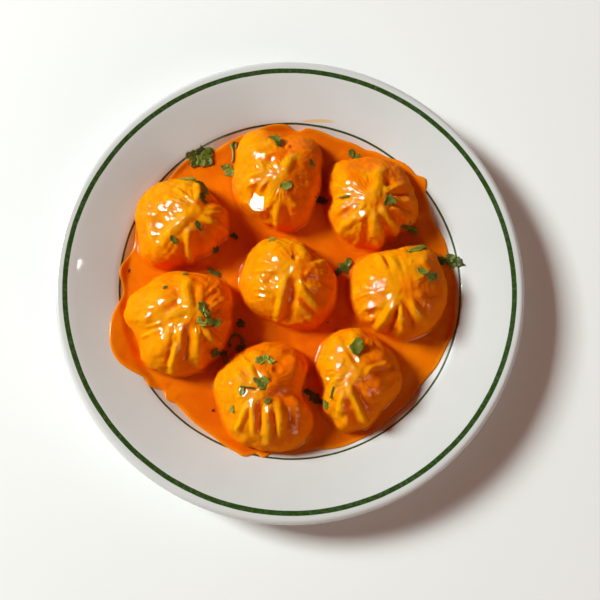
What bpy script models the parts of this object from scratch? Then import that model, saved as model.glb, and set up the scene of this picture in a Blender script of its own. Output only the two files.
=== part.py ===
"""Eight momo dumplings standing in a pool of sauce on a rimmed plate.

Units are metres, +Z is up, and the origin is the centre of the plate's foot on the table.
"""
import math

import bmesh
import bpy
from mathutils import Vector

MM = 0.001

# What touches keeps this much air between its surfaces.
GAP = 0.3 * MM

# A cutter's points move out by this much, which keeps its faces at least the gap away.
CUTTER_SWELL = 0.42 * MM

# The plate and the sauce share their steps round, so that their facets lie side by side.
ROUND_STEPS = 52

# The plate is turned: its sizes are radii and heights above the table.
PLATE_RADIUS = 127.0 * MM
FLOOR_RADIUS = 77.0 * MM
FLOOR_TOP = 7.0 * MM
FLOOR_UNDER = 2.6 * MM
VERGE_RADIUS = 93.75 * MM
VERGE_TOP = 16.4 * MM
BAND_RADIUS = 121.0 * MM
BAND_TOP = 26.5 * MM
LIP_TOP = 26.9 * MM
LIP_EDGE = 24.7 * MM
LIP_ROUND = 2.0 * MM
RIM_THICKNESS = 4.4 * MM
FOOT_OUTER = 82.0 * MM
FOOT_INNER = 76.0 * MM
FOOT_SPLAY = 1.5 * MM
WELL_THICKNESS = 8.8 * MM
COVE_STEPS = 4

# The sauce fills the well to its level, and its edge wanders over the verge in places.
SAUCE_LEVEL = 14.3 * MM
SAUCE_RADIUS = 90.3 * MM
SAUCE_EDGE = 1.1 * MM
SAUCE_FILM = 1.6 * MM
FILM_POWER = 12
EDGE_INSET = 0.4 * MM
# The underside is this much freer of the plate past these shares of the verge's radius.
VERGE_CLEARANCE = 0.5 * MM
CLEARANCE_SHARES = (0.93, 0.98)
# Rings of points across the top, as shares of the way out to the edge.
SAUCE_RINGS = (0.6, 0.9, 0.96, 1.0)
# Lobes of the edge: direction in degrees, half width in degrees, reach.
SAUCE_LOBES = (
    (0, 16, 3.0 * MM),
    (45, 18, 5.0 * MM),
    (93, 20, 3.5 * MM),
    (131, 14, 2.5 * MM),
    (154, 12, 3.5 * MM),
    (197, 26, 12.5 * MM),
    (252, 16, 4.5 * MM),
    (290, 12, 2.0 * MM),
)

# Each dumpling is drawn with rows of points from 0, its gather, down to 1, the middle of its base.
MOMO_ROWS = (0.0, 0.07, 0.16, 0.27, 0.40, 0.57, 0.70, 0.82, 1.0)
WIDEST_ROW = 0.57
CREST_SHARE = 0.2
WIDEST_HEIGHT = 9.5 * MM
CROWN_POWER = 2.0
BASE_POWER = 2.5
BASE_SINK = 1.3
# The folds rise between the first two of these rows and die away between the last two.
FOLD_ROWS = (0.04, 0.30, 0.45, 0.80)
FOLD_DEPTH = 2.4 * MM
FOLD_MIDDLE = 0.6
FOLD_POWER = 1.7
WALL_GAP = 1.2 * MM


class Momo:
    """One dumpling: where it stands, its girth, and the folds that run from its gather.

    centre and gather are (x, y) places in millimetres, height is from its base to its crown, and
    bulges are (direction, half width, reach) in degrees and millimetres. folds are the directions
    of the crests in degrees, and swirl is how far they turn on their way down.
    """

    def __init__(self, name, centre, gather, height, girth, bulges, folds, swirl):
        self.name = name
        self.centre = Vector(centre) * MM
        self.lean = Vector(gather) * MM - self.centre
        self.height = height * MM
        self.girth = girth * MM
        self.bulges = [(direction, width, reach * MM) for direction, width, reach in bulges]
        self.folds = sorted(folds)
        self.swirl = swirl


MOMOS = (
    Momo("momo_1", (-60.2, 34.6), (-50.7, 34.7), 34.5, 26.0,
         [(45, 36, -2.9), (150, 50, 2.2), (230, 36, 4.5), (295, 50, -3.8), (330, 26, -1.9)],
         [20, 62, 98, 134, 160, 190, 216, 240, 264, 300, 326, 354], -6),
    Momo("momo_2", (-7.7, 60.3), (-4.3, 54.9), 34.0, 25.8,
         [(46, 42, 6.0), (122, 45, 7.0), (285, 50, 5.0)],
         [22, 54, 92, 134, 170, 196, 226, 252, 277, 310, 345], 8),
    Momo("momo_3", (44.9, 47.5), (43.6, 41.7), 34.5, 27.0,
         [(20, 36, -1.8), (135, 26, 4.4), (180, 18, -3.3), (240, 50, 1.0), (302, 40, -3.4)],
         [12, 40, 76, 104, 140, 172, 200, 227, 254, 277, 308, 342], 6),
    Momo("momo_4", (-62.6, -20.2), (-51.4, -19.7), 36.0, 30.6,
         [(35, 36, 4.0), (85, 40, -2.0), (125, 36, -3.6), (205, 36, -6.5)],
         [15, 44, 72, 98, 128, 162, 196, 226, 255, 280, 314, 344], -5),
    Momo("momo_5", (-0.9, 1.2), (3.2, 1.9), 34.5, 28.0,
         [(5, 50, -1.5), (50, 50, -6.2), (95, 26, -2.4), (130, 26, 1.1), (250, 50, -4.3)],
         [6, 35, 66, 104, 140, 174, 214, 247, 284, 302, 327], 5),
    Momo("momo_6", (58.8, -2.5), (57.4, -6.2), 35.0, 28.0,
         [(50, 26, 2.8), (105, 50, -4.4), (245, 36, -2.5)],
         [20, 52, 96, 122, 150, 178, 206, 237, 271, 307, 332, 352], 7),
    Momo("momo_7", (-15.4, -59.9), (-14.0, -57.6), 34.5, 29.2,
         [(5, 36, -8.4), (50, 50, 2.0), (130, 50, -2.4), (200, 50, -4.7), (305, 50, 4.4)],
         [5, 42, 72, 98, 125, 156, 188, 235, 255, 273, 293, 323], -4),
    Momo("momo_8", (36.6, -52.4), (32.9, -49.1), 34.0, 26.0,
         [(10, 50, -2.5), (110, 50, 4.6), (190, 36, -5.0), (250, 18, 2.8), (315, 50, -7.0)],
         [14, 50, 88, 130, 160, 182, 207, 230, 252, 280, 316, 346], 5),
)


def smooth_step(low, high, value):
    """0 below low, 1 above high, with an even curve between."""
    share = min(max((value - low) / (high - low), 0.0), 1.0)
    return share * share * (3.0 - 2.0 * share)


def turn_between(first, second):
    """Signed angle in degrees from second to first, the short way round."""
    return (first - second + 180.0) % 360.0 - 180.0


def lobed(direction, lobes):
    """Sum of the cosine lobes that reach a direction in degrees."""
    total = 0.0
    for middle, half_width, reach in lobes:
        away = abs(turn_between(direction, middle)) / half_width
        if away < 1.0:
            total += reach * 0.5 * (1.0 + math.cos(math.pi * away))
    return total


# ---------------------------------------------------------------- plate

def cove_points():
    """Top of the well's wall: a quarter sine from the flat floor up to the verge."""
    points = []
    for step in range(COVE_STEPS + 1):
        share = step / COVE_STEPS
        radius = FLOOR_RADIUS + (VERGE_RADIUS - FLOOR_RADIUS) * share
        rise = 1.0 - math.cos(0.5 * math.pi * share)
        points.append((radius, FLOOR_TOP + (VERGE_TOP - FLOOR_TOP) * rise))
    return points


def plate_top_points():
    """The eating side of the plate, from its centre out to the edge of the lip."""
    return [(0.0, FLOOR_TOP)] + cove_points() + [
        (BAND_RADIUS - LIP_ROUND, BAND_TOP - 0.3 * LIP_ROUND),
        (BAND_RADIUS + LIP_ROUND, BAND_TOP + 0.1 * LIP_ROUND),
        (PLATE_RADIUS - LIP_ROUND, LIP_TOP - 0.15 * LIP_ROUND),
        (PLATE_RADIUS - 0.25 * LIP_ROUND, LIP_EDGE + 0.5 * LIP_ROUND),
        (PLATE_RADIUS, LIP_EDGE),
    ]


def plate_under_points():
    """The underside, from the edge of the lip back to the centre, over the foot ring."""
    return [
        (PLATE_RADIUS - 0.35 * LIP_ROUND, LIP_EDGE - 0.7 * LIP_ROUND),
        (BAND_RADIUS, BAND_TOP - RIM_THICKNESS),
        (VERGE_RADIUS + 0.5 * RIM_THICKNESS, VERGE_TOP - RIM_THICKNESS),
        (VERGE_RADIUS - RIM_THICKNESS, VERGE_TOP - WELL_THICKNESS),
        (FOOT_OUTER + FOOT_SPLAY, FLOOR_UNDER + 0.4 * FOOT_SPLAY),
        (FOOT_OUTER, 0.0),
        (FOOT_INNER, 0.0),
        (FOOT_INNER - FOOT_SPLAY, FLOOR_UNDER),
        (0.0, FLOOR_UNDER),
    ]


def plate_height(radius):
    """Height of the plate's eating side at a distance from its centre."""
    points = plate_top_points()
    for (near, near_z), (far, far_z) in zip(points, points[1:]):
        if radius <= far:
            return near_z + (far_z - near_z) * (radius - near) / (far - near)
    return LIP_EDGE


def make_plate(collection):
    """Turn the plate's profile about +Z."""
    profile = plate_top_points() + plate_under_points()
    form = bmesh.new()
    corners = [form.verts.new((radius, 0.0, height)) for radius, height in profile]
    for first, second in zip(corners, corners[1:]):
        form.edges.new((first, second))
    plate = new_object("plate", form, collection)
    turn = plate.modifiers.new("turn", "SCREW")
    turn.axis = "Z"
    turn.steps = ROUND_STEPS
    turn.render_steps = ROUND_STEPS
    turn.use_merge_vertices = True
    turn.merge_threshold = 0.0001
    turn.use_smooth_shade = True
    return plate


# ---------------------------------------------------------------- round forms

def new_object(name, form, collection):
    """Make an object from a bmesh, which is freed."""
    mesh = bpy.data.meshes.new(name)
    form.to_mesh(mesh)
    form.free()
    made = bpy.data.objects.new(name, mesh)
    collection.objects.link(made)
    return made


def shaped_ball(name, columns, rows, place, collection):
    """A closed ball whose points are put where place(column, row) says."""
    form = bmesh.new()
    bmesh.ops.create_uvsphere(form, u_segments=columns, v_segments=rows, radius=1.0)
    for corner in form.verts:
        across = math.atan2(corner.co.y, corner.co.x) / (2.0 * math.pi)
        down = math.acos(min(max(corner.co.z, -1.0), 1.0)) / math.pi
        corner.co = place(round(across * columns) % columns, round(down * rows))
    bmesh.ops.triangulate(form, faces=form.faces, quad_method="FIXED")
    made = new_object(name, form, collection)
    made.data.shade_smooth()
    return made


# ---------------------------------------------------------------- dumplings

def fold_lift(momo, direction):
    """1 on a crest, 0 in the creases beside it, for a direction from the gather."""
    count = len(momo.folds)
    nearest = min(range(count), key=lambda i: abs(turn_between(direction, momo.folds[i])))
    away = turn_between(direction, momo.folds[nearest])
    neighbour = momo.folds[(nearest + (1 if away > 0 else -1)) % count]
    half_width = 0.5 * abs(turn_between(neighbour, momo.folds[nearest]))
    return 1.0 - (abs(away) / half_width) ** FOLD_POWER


def fold_columns(momo):
    """Directions of the columns: each crease and the two shoulders of the crest beside it."""
    directions = []
    count = len(momo.folds)
    for index, crest in enumerate(momo.folds):
        before = turn_between(momo.folds[index - 1], crest)
        after = turn_between(momo.folds[(index + 1) % count], crest)
        directions += [crest + 0.5 * before, crest + CREST_SHARE * before, crest + CREST_SHARE * after]
    return directions


def meridian(momo, row):
    """Share of the girth and height above the base, at a row from 0 (gather) to 1 (base)."""
    if row < WIDEST_ROW:
        angle = 0.5 * math.pi * row / WIDEST_ROW
        share = math.sin(angle) ** (2.0 / CROWN_POWER)
        rise = math.cos(angle) ** (2.0 / CROWN_POWER)
        return share, WIDEST_HEIGHT + (momo.height - WIDEST_HEIGHT) * rise
    angle = 0.5 * math.pi * (row - WIDEST_ROW) / (1.0 - WIDEST_ROW)
    share = max(math.cos(angle), 0.0) ** (2.0 / BASE_POWER)
    drop = WIDEST_HEIGHT * BASE_SINK * math.sin(angle) ** (2.0 / BASE_POWER)
    return share, max(WIDEST_HEIGHT - drop, 0.0)


def reach_from_gather(momo, heading, share):
    """Distance from the gather to the ring at a share of the girth, along a heading."""
    along = momo.lean.dot(heading)
    reach = 0.0
    girth = momo.girth
    for _ in range(3):
        inside = girth * girth - share * share * (momo.lean.length_squared - along * along)
        reach = share * (math.sqrt(inside) - share * along)
        spoke = heading * reach + momo.lean * share * share
        direction = math.degrees(math.atan2(spoke.y, spoke.x))
        girth = momo.girth + lobed(direction, momo.bulges)
    return reach


def momo_point(momo, direction, row):
    """Place on a dumpling's skin, for a direction from its gather and a row down it."""
    share, height = meridian(momo, row)
    turned = math.radians(direction + momo.swirl * row)
    heading = Vector((math.cos(turned), math.sin(turned)))
    reach = reach_from_gather(momo, heading, share)
    start, full, fading, end = FOLD_ROWS
    fade = smooth_step(start, full, row) * (1.0 - smooth_step(fading, end, row))
    relief = FOLD_DEPTH * fade * (fold_lift(momo, direction) - FOLD_MIDDLE)
    spot = momo.centre + momo.lean + heading * (reach + relief * math.sin(math.pi * row))
    height += relief * math.cos(0.5 * math.pi * min(row / WIDEST_ROW, 1.0))
    height += FLOOR_TOP + GAP
    floor = plate_height(spot.length) + (WALL_GAP if spot.length > FLOOR_RADIUS else GAP)
    return Vector((spot.x, spot.y, max(height, floor)))


def make_momo(momo, name, collection):
    """A dumpling as one closed skin."""
    directions = fold_columns(momo)

    def place(column, row):
        return momo_point(momo, directions[column], MOMO_ROWS[row])

    return shaped_ball(name, len(directions), len(MOMO_ROWS) - 1, place, collection)


def swell(made, distance):
    """Push each point of a mesh out along its normal."""
    form = bmesh.new()
    form.from_mesh(made.data)
    form.normal_update()
    for corner in form.verts:
        corner.co += corner.normal * distance
    form.to_mesh(made.data)
    form.free()


# ---------------------------------------------------------------- sauce

def sauce_edge(direction):
    """Radius of the sauce's edge in a direction in degrees."""
    return SAUCE_RADIUS + lobed(direction, SAUCE_LOBES)


def sauce_top(radius, edge):
    """Height of the sauce: level in the well, and a thinning film up the wall and rim."""
    film = SAUCE_EDGE + SAUCE_FILM * (1.0 - (radius / edge) ** FILM_POWER)
    return max(SAUCE_LEVEL, plate_height(radius) + GAP + film)


def sauce_under(radius):
    """Height of the sauce's underside, a little freer of the plate where that turns over."""
    share = smooth_step(*CLEARANCE_SHARES, radius / VERGE_RADIUS)
    return plate_height(radius) + GAP + VERGE_CLEARANCE * share


def make_sauce(collection):
    """The pool: level rings on top, and rings below that follow the plate."""
    cove_radii = [radius for radius, _ in reversed(cove_points())]
    rows = len(SAUCE_RINGS) + len(cove_radii) + 2

    def place(column, row):
        direction = 360.0 * column / ROUND_STEPS
        edge = sauce_edge(direction)
        if row == 0:
            return Vector((0.0, 0.0, SAUCE_LEVEL))
        if row == rows:
            return Vector((0.0, 0.0, FLOOR_TOP + GAP))
        if row <= len(SAUCE_RINGS):
            radius = edge * SAUCE_RINGS[row - 1]
            height = sauce_top(radius, edge)
        elif row == len(SAUCE_RINGS) + 1:
            radius = edge - EDGE_INSET
            height = sauce_under(radius)
        else:
            step = row - len(SAUCE_RINGS) - 2
            radius = min(cove_radii[step], edge - EDGE_INSET * (step + 2))
            height = sauce_under(radius)
        angle = math.radians(direction)
        return Vector((radius * math.cos(angle), radius * math.sin(angle), height))

    return shaped_ball("sauce", ROUND_STEPS, rows, place, collection)


def cut_round_momos(sauce, cutters):
    """Leave the room that each dumpling takes up in the sauce."""
    for momo in MOMOS:
        cutter = make_momo(momo, momo.name + "_cutter", cutters)
        swell(cutter, CUTTER_SWELL)
        cutter.hide_render = True
        cutter.display_type = "WIRE"
        cut = sauce.modifiers.new("room for " + momo.name, "BOOLEAN")
        cut.operation = "DIFFERENCE"
        cut.solver = "EXACT"
        cut.object = cutter


# ---------------------------------------------------------------- finishes

def finish(name, colour, roughness):
    """A Principled material of one colour."""
    material = bpy.data.materials.new(name)
    material.use_nodes = True
    shader = material.node_tree.nodes["Principled BSDF"]
    shader.inputs["Base Color"].default_value = (*colour, 1.0)
    shader.inputs["Roughness"].default_value = roughness
    shader.inputs["Metallic"].default_value = 0.0
    return material


def main():
    for old in list(bpy.data.objects):
        bpy.data.objects.remove(old)
    parts = bpy.data.collections.new("momo_dumplings")
    cutters = bpy.data.collections.new("cutters")
    for collection in (parts, cutters):
        bpy.context.scene.collection.children.link(collection)

    plate = make_plate(parts)
    plate.data.materials.append(finish("glaze", (0.80, 0.80, 0.78), 0.15))
    sauce = make_sauce(parts)
    sauce.data.materials.append(finish("sauce", (0.75, 0.16, 0.01), 0.2))
    cut_round_momos(sauce, cutters)
    dough = finish("dough", (0.92, 0.42, 0.03), 0.3)
    for momo in MOMOS:
        make_momo(momo, momo.name, parts).data.materials.append(dough)


main()
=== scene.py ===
"""Looks of a plate of momo dumplings: glazed plate, sauce, pleated dough and chopped herbs."""
import math
import random

import bmesh
import bpy
import numpy as np
from mathutils import Matrix, Vector
from mathutils.bvhtree import BVHTree


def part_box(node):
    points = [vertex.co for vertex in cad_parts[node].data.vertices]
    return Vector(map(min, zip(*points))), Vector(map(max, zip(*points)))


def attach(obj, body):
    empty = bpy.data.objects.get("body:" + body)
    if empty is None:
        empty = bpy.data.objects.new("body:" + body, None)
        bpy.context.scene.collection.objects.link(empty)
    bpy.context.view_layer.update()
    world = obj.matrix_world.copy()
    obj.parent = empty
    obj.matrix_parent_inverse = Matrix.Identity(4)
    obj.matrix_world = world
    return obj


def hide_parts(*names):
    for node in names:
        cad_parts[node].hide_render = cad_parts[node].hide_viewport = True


MM = 0.001

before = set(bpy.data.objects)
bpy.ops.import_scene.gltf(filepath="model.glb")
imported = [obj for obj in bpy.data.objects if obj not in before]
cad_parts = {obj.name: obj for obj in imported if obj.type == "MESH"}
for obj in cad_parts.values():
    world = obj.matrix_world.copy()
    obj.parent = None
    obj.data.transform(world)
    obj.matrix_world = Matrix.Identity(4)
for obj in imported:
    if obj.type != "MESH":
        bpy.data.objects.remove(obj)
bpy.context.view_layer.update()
PLATE_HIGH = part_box("plate")[1]
SAUCE_LEVEL = 14.3 * MM

# Azimuth and elevation in degrees, and distance in metres, about the point aimed at.
CAMERA_AIM = (4.5 * MM, -8.5 * MM, 20.0 * MM)
CAMERA_PLACE = (-104.76, 80.21, 0.46)
WINDOW_PLACE = (158.0, 37.0, 3.2)


# ================================================================ small helpers

def smooth(low, high, value):
    """0 below low, 1 above high, with an even curve between, for numbers or arrays."""
    share = np.clip((value - low) / (high - low), 0.0, 1.0)
    return share * share * (3.0 - 2.0 * share)


def turn_between(first, second):
    """Signed angle from second to first in degrees, the short way round."""
    return (first - second + 180.0) % 360.0 - 180.0


def lobed(direction, lobes):
    """Sum of cosine lobes, each (middle, half width, reach), at directions in degrees."""
    total = np.zeros_like(direction)
    for middle, half_width, reach in lobes:
        away = np.minimum(np.abs(turn_between(direction, middle)) / half_width, 1.0)
        total += reach * 0.5 * (1.0 + np.cos(np.pi * away))
    return total


def ripple(points, wavelength, seed, waves=7):
    """Smooth uneven relief between about -1 and 1 at points, from waves in many directions."""
    draw = np.random.default_rng(seed)
    total = np.zeros(len(points))
    for _ in range(waves):
        heading = draw.normal(size=3)
        heading /= np.linalg.norm(heading)
        pitch = 2.0 * np.pi / (wavelength * draw.uniform(0.75, 1.35))
        total += np.sin(points @ heading * pitch + draw.uniform(0.0, 2.0 * np.pi))
    return total / math.sqrt(waves)


def read_points(mesh):
    """A mesh's points as an array of rows."""
    points = np.empty(len(mesh.vertices) * 3)
    mesh.vertices.foreach_get("co", points)
    return points.reshape(-1, 3)


def write_points(mesh, points):
    """Put an array of rows back into a mesh."""
    mesh.vertices.foreach_set("co", points.ravel())
    mesh.update()


def read_normals(mesh):
    """A mesh's point normals as an array of rows."""
    normals = np.empty(len(mesh.vertices) * 3)
    mesh.vertex_normals.foreach_get("vector", normals)
    return normals.reshape(-1, 3)


def store(mesh, name, values):
    """Keep one number for each point, for a material to read."""
    attribute = mesh.attributes.new(name, "FLOAT", "POINT")
    attribute.data.foreach_set("value", values.astype(np.float32))


def ball(name, columns, rows):
    """A closed ball as an object, with its points' share of the way down and their directions."""
    form = bmesh.new()
    bmesh.ops.create_grid(form, x_segments=columns, y_segments=rows, size=1.0)
    for corner in form.verts:
        turn = math.pi * corner.co.x
        fall = 0.5 * math.pi * (1.0 - corner.co.y)
        ring = math.sin(fall)
        corner.co = (ring * math.cos(turn), ring * math.sin(turn), math.cos(fall))
    bmesh.ops.remove_doubles(form, verts=form.verts, dist=1e-5)
    bmesh.ops.recalc_face_normals(form, faces=form.faces)
    made = finished(name, form)
    points = read_points(made.data)
    down = np.arccos(np.clip(points[:, 2], -1.0, 1.0)) / np.pi
    across = np.degrees(np.arctan2(points[:, 1], points[:, 0])) % 360.0
    return made, down, across


def finished(name, form):
    """Turn a bmesh into a smooth-shaded object at the origin."""
    mesh = bpy.data.meshes.new(name)
    form.to_mesh(mesh)
    form.free()
    mesh.shade_smooth()
    made = bpy.data.objects.new(name, mesh)
    bpy.context.scene.collection.objects.link(made)
    return made


def settle(piece, material, node=None):
    """Give a finished piece its material, and tell the frame what it is."""
    piece.data.materials.append(material)
    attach(piece, "root")
    if node:
        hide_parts(node)


# ================================================================ materials

class Finish:
    """A node material that is written as one Principled shader and the nodes that feed it."""

    def __init__(self, name):
        self.material = bpy.data.materials.new(name)
        self.material.use_nodes = True
        self.nodes = self.material.node_tree.nodes
        self.links = self.material.node_tree.links
        self.shader = self.nodes["Principled BSDF"]
        self.place = self.nodes.new("ShaderNodeTexCoord").outputs["Object"]

    def set(self, **values):
        """Set constant values on the shader's own sockets."""
        for name, value in values.items():
            self.shader.inputs[name.replace("_", " ")].default_value = value

    def join(self, source, target):
        self.links.new(source, target)

    def math(self, operation, first, second=0.0, third=None, clamp=False):
        """A Math node; each operand is a number or another node's output."""
        node = self.nodes.new("ShaderNodeMath")
        node.operation = operation
        node.use_clamp = clamp
        for socket, value in zip(node.inputs, (first, second, third)):
            if value is None:
                continue
            if isinstance(value, (int, float)):
                socket.default_value = value
            else:
                self.join(value, socket)
        return node.outputs[0]

    def noise(self, scale, detail=3.0, roughness=0.5, distortion=0.0, vector=None):
        node = self.nodes.new("ShaderNodeTexNoise")
        node.inputs["Scale"].default_value = scale
        node.inputs["Detail"].default_value = detail
        node.inputs["Roughness"].default_value = roughness
        node.inputs["Distortion"].default_value = distortion
        self.join(vector or self.place, node.inputs["Vector"])
        return node.outputs["Fac"]

    def spread(self, value, low, high, to_low=0.0, to_high=1.0):
        """Map a range of values smoothly onto another."""
        node = self.nodes.new("ShaderNodeMapRange")
        node.interpolation_type = "SMOOTHSTEP"
        self.join(value, node.inputs["Value"])
        names = ("From Min", "From Max", "To Min", "To Max")
        for name, number in zip(names, (low, high, to_low, to_high)):
            node.inputs[name].default_value = number
        return node.outputs["Result"]

    def mix(self, share, first, second):
        """Mix two colours; each is a tuple or another node's output."""
        node = self.nodes.new("ShaderNodeMix")
        node.data_type = "RGBA"
        sockets = (node.inputs[0], node.inputs[6], node.inputs[7])
        for socket, value in zip(sockets, (share, first, second)):
            if isinstance(value, tuple):
                socket.default_value = (*value, 1.0)
            elif isinstance(value, float):
                socket.default_value = value
            else:
                self.join(value, socket)
        return node.outputs[2]

    def attribute(self, name):
        node = self.nodes.new("ShaderNodeAttribute")
        node.attribute_name = name
        return node.outputs["Fac"]

    def bump(self, height, distance, strength=1.0, socket="Normal"):
        """Relief too fine for the mesh, on the surface itself or on its clear coat."""
        node = self.nodes.new("ShaderNodeBump")
        node.inputs["Strength"].default_value = strength
        node.inputs["Distance"].default_value = distance
        self.join(height, node.inputs["Height"])
        self.join(node.outputs["Normal"], self.shader.inputs[socket])


GLAZE_WHITE = (0.70, 0.70, 0.69)
LINE_GREEN = (0.017, 0.060, 0.004)
SMEAR_YELLOW = (0.75, 0.48, 0.12)
CLOUDED_GLAZE = 0.965
BAND_INNER = 119.75 * MM
BAND_OUTER = 122.35 * MM
BAND_SOFTNESS = 0.12 * MM
RING_RADIUS = 93.75 * MM
RING_WIDTH = 1.0 * MM
RING_SOFTNESS = 0.16 * MM
BRUSH_WANDER = 0.35 * MM
SMEAR_PLACE = (14.0 * MM, 96.0 * MM)
SMEAR_RISE = 0.14
SMEAR_FLATNESS = 11.0
SMEAR_RAGGEDNESS = 14 * MM
SMEAR_INNER = 12 * MM
SMEAR_OUTER = 20 * MM
SMEAR_STRENGTH = 0.75


def painted_line(finish, radius, inner, outer, edge):
    """1 inside a painted ring between two radii, with soft hand-painted edges."""
    wander = finish.math("MULTIPLY", finish.noise(90.0, 2.0), BRUSH_WANDER)
    shifted = finish.math("ADD", radius, wander)
    rising = finish.spread(shifted, inner - edge, inner + edge)
    falling = finish.spread(shifted, outer - edge, outer + edge, 1.0, 0.0)
    return finish.math("MULTIPLY", rising, falling)


def glaze():
    """Off-white glaze with a broad green line by the lip and a thin one round the well."""
    finish = Finish("white glaze with green lines")
    finish.set(Roughness=0.25, IOR=1.45, Coat_Weight=0.35, Coat_Roughness=0.03)
    parts = finish.nodes.new("ShaderNodeSeparateXYZ")
    finish.join(finish.place, parts.inputs[0])
    across = finish.math("POWER", parts.outputs["X"], 2.0)
    along = finish.math("POWER", parts.outputs["Y"], 2.0)
    radius = finish.math("SQRT", finish.math("ADD", across, along))

    facing = finish.nodes.new("ShaderNodeSeparateXYZ")
    geometry = finish.nodes.new("ShaderNodeNewGeometry")
    finish.join(geometry.outputs["Normal"], facing.inputs[0])
    top_side = finish.spread(facing.outputs["Z"], 0.1, 0.3)

    band = painted_line(finish, radius, BAND_INNER, BAND_OUTER, BAND_SOFTNESS)
    half = 0.5 * RING_WIDTH
    ring = painted_line(finish, radius, RING_RADIUS - half, RING_RADIUS + half, RING_SOFTNESS)
    density = finish.spread(finish.noise(500.0, 3.0), 0.2, 0.6, 0.93, 1.0)
    lines = finish.math("MULTIPLY", finish.math("MAXIMUM", band, ring), density)
    lines = finish.math("MULTIPLY", lines, top_side)

    beside = finish.math("SUBTRACT", parts.outputs["X"], SMEAR_PLACE[0])
    beyond = finish.math("SUBTRACT", radius, SMEAR_PLACE[1])
    beyond = finish.math("SUBTRACT", beyond, finish.math("MULTIPLY", beside, SMEAR_RISE))
    beyond = finish.math("MULTIPLY", beyond, SMEAR_FLATNESS)
    away = finish.math("ADD", finish.math("POWER", beside, 2.0), finish.math("POWER", beyond, 2.0))
    away = finish.math("SQRT", away)
    uneven = finish.math("MULTIPLY", finish.noise(150.0), SMEAR_RAGGEDNESS)
    ragged = finish.math("ADD", away, uneven)
    smear = finish.spread(ragged, SMEAR_INNER, SMEAR_OUTER, SMEAR_STRENGTH, 0.0)
    upper = finish.spread(parts.outputs["Y"], 0.0, 10 * MM)
    smear = finish.math("MULTIPLY", finish.math("MULTIPLY", smear, upper), top_side)

    cloudy = finish.spread(finish.noise(28.0, 2.0), 0.3, 0.7)
    ground = finish.mix(cloudy, GLAZE_WHITE, tuple(CLOUDED_GLAZE * part for part in GLAZE_WHITE))
    ground = finish.mix(smear, ground, SMEAR_YELLOW)
    finish.join(finish.mix(lines, ground, LINE_GREEN), finish.shader.inputs["Base Color"])
    finish.bump(finish.noise(45.0, 2.0), 0.25 * MM, 0.35)
    return finish.material


SAUCE_BODY = (0.72, 0.125, 0.001)
SAUCE_BRIGHT = (0.88, 0.215, 0.001)
SAUCE_THIN = (0.84, 0.22, 0.003)


def sauce_finish():
    """Smooth, wet tomato and cream sauce, paler where it lies thin."""
    finish = Finish("orange sauce")
    finish.set(IOR=1.4, Subsurface_Weight=0.5, Subsurface_Scale=3.0 * MM)
    finish.set(Subsurface_Radius=(1.0, 0.35, 0.08))
    swirl = finish.spread(finish.noise(24.0, 4.0, 0.55, 0.9), 0.35, 0.68)
    body = finish.mix(swirl, SAUCE_BODY, SAUCE_BRIGHT)
    colour = finish.mix(finish.attribute("thin"), body, SAUCE_THIN)
    finish.join(colour, finish.shader.inputs["Base Color"])
    roughness = finish.spread(finish.noise(160.0), 0.3, 0.7, 0.09, 0.15)
    finish.join(roughness, finish.shader.inputs["Roughness"])
    finish.bump(finish.noise(220.0, 2.0), 0.08 * MM, 0.2)
    return finish.material


# Dough colours, from its own yellow to the orange of a thick sauce coat. The orange end also
# serves as painted shade in creases and on the side facing away from the window.
DOUGH_YELLOW = (0.84, 0.305, 0.0015)
DOUGH_ORANGE = (0.86, 0.20, 0.001)
COAT_AND_SHADE_ORANGE = (0.87, 0.165, 0.001)
PATCHINESS = 0.18


def dough_finish():
    """Steamed dough under a wet coat of sauce: yellow on its crests, orange in its creases and on
    its side away from the window, which is partly painted shade.
    """
    finish = Finish("dough under sauce")
    finish.set(IOR=1.3, Specular_IOR_Level=0.0, Coat_Roughness=0.02, Coat_IOR=1.5)
    coat = finish.spread(finish.attribute("gloss"), 0.0, 1.0, 0.06, 0.9)
    finish.join(coat, finish.shader.inputs["Coat Weight"])
    finish.set(Subsurface_Weight=0.6, Subsurface_Scale=2.2 * MM)
    finish.set(Subsurface_Radius=(1.0, 0.6, 0.12))
    # The share mixes real sauce coat with painted light on crests and painted shade in creases and
    # on the side facing away from the window.
    coated_and_shaded = finish.attribute("sauce_and_shade")
    patchy = finish.math("MULTIPLY", finish.noise(120.0, 3.0), 2.0 * PATCHINESS)
    share = finish.math("SUBTRACT", finish.math("ADD", coated_and_shaded, patchy), PATCHINESS, clamp=True)
    half_coated_and_shaded = finish.mix(finish.spread(share, 0.3, 0.75), DOUGH_YELLOW, DOUGH_ORANGE)
    colour = finish.mix(finish.spread(share, 0.75, 1.0), half_coated_and_shaded, COAT_AND_SHADE_ORANGE)
    finish.join(colour, finish.shader.inputs["Base Color"])
    roughness = finish.spread(finish.noise(260.0), 0.3, 0.7, 0.28, 0.42)
    finish.join(roughness, finish.shader.inputs["Roughness"])
    finish.bump(finish.noise(300.0, 2.0), 0.08 * MM, 0.3)
    finish.bump(finish.noise(380.0, 2.0, 0.5, 0.6), 0.28 * MM, 1.0, "Coat Normal")
    return finish.material


# ================================================================ plate

PLATE_STEPS = 256
CURVE_STEPS = 10
LIP_STEPS = 14
LIP_RADIUS = 3.0
JOIN_DISTANCE = 0.01 * MM


def arc(centre, radius, start, end, steps=CURVE_STEPS):
    """Points of an arc in the profile's plane; angles in degrees, from +radius towards +height."""
    points = []
    for step in range(steps + 1):
        angle = math.radians(start + (end - start) * step / steps)
        across, up = radius * math.cos(angle), radius * math.sin(angle)
        points.append((centre[0] + across, centre[1] + up))
    return points


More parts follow.
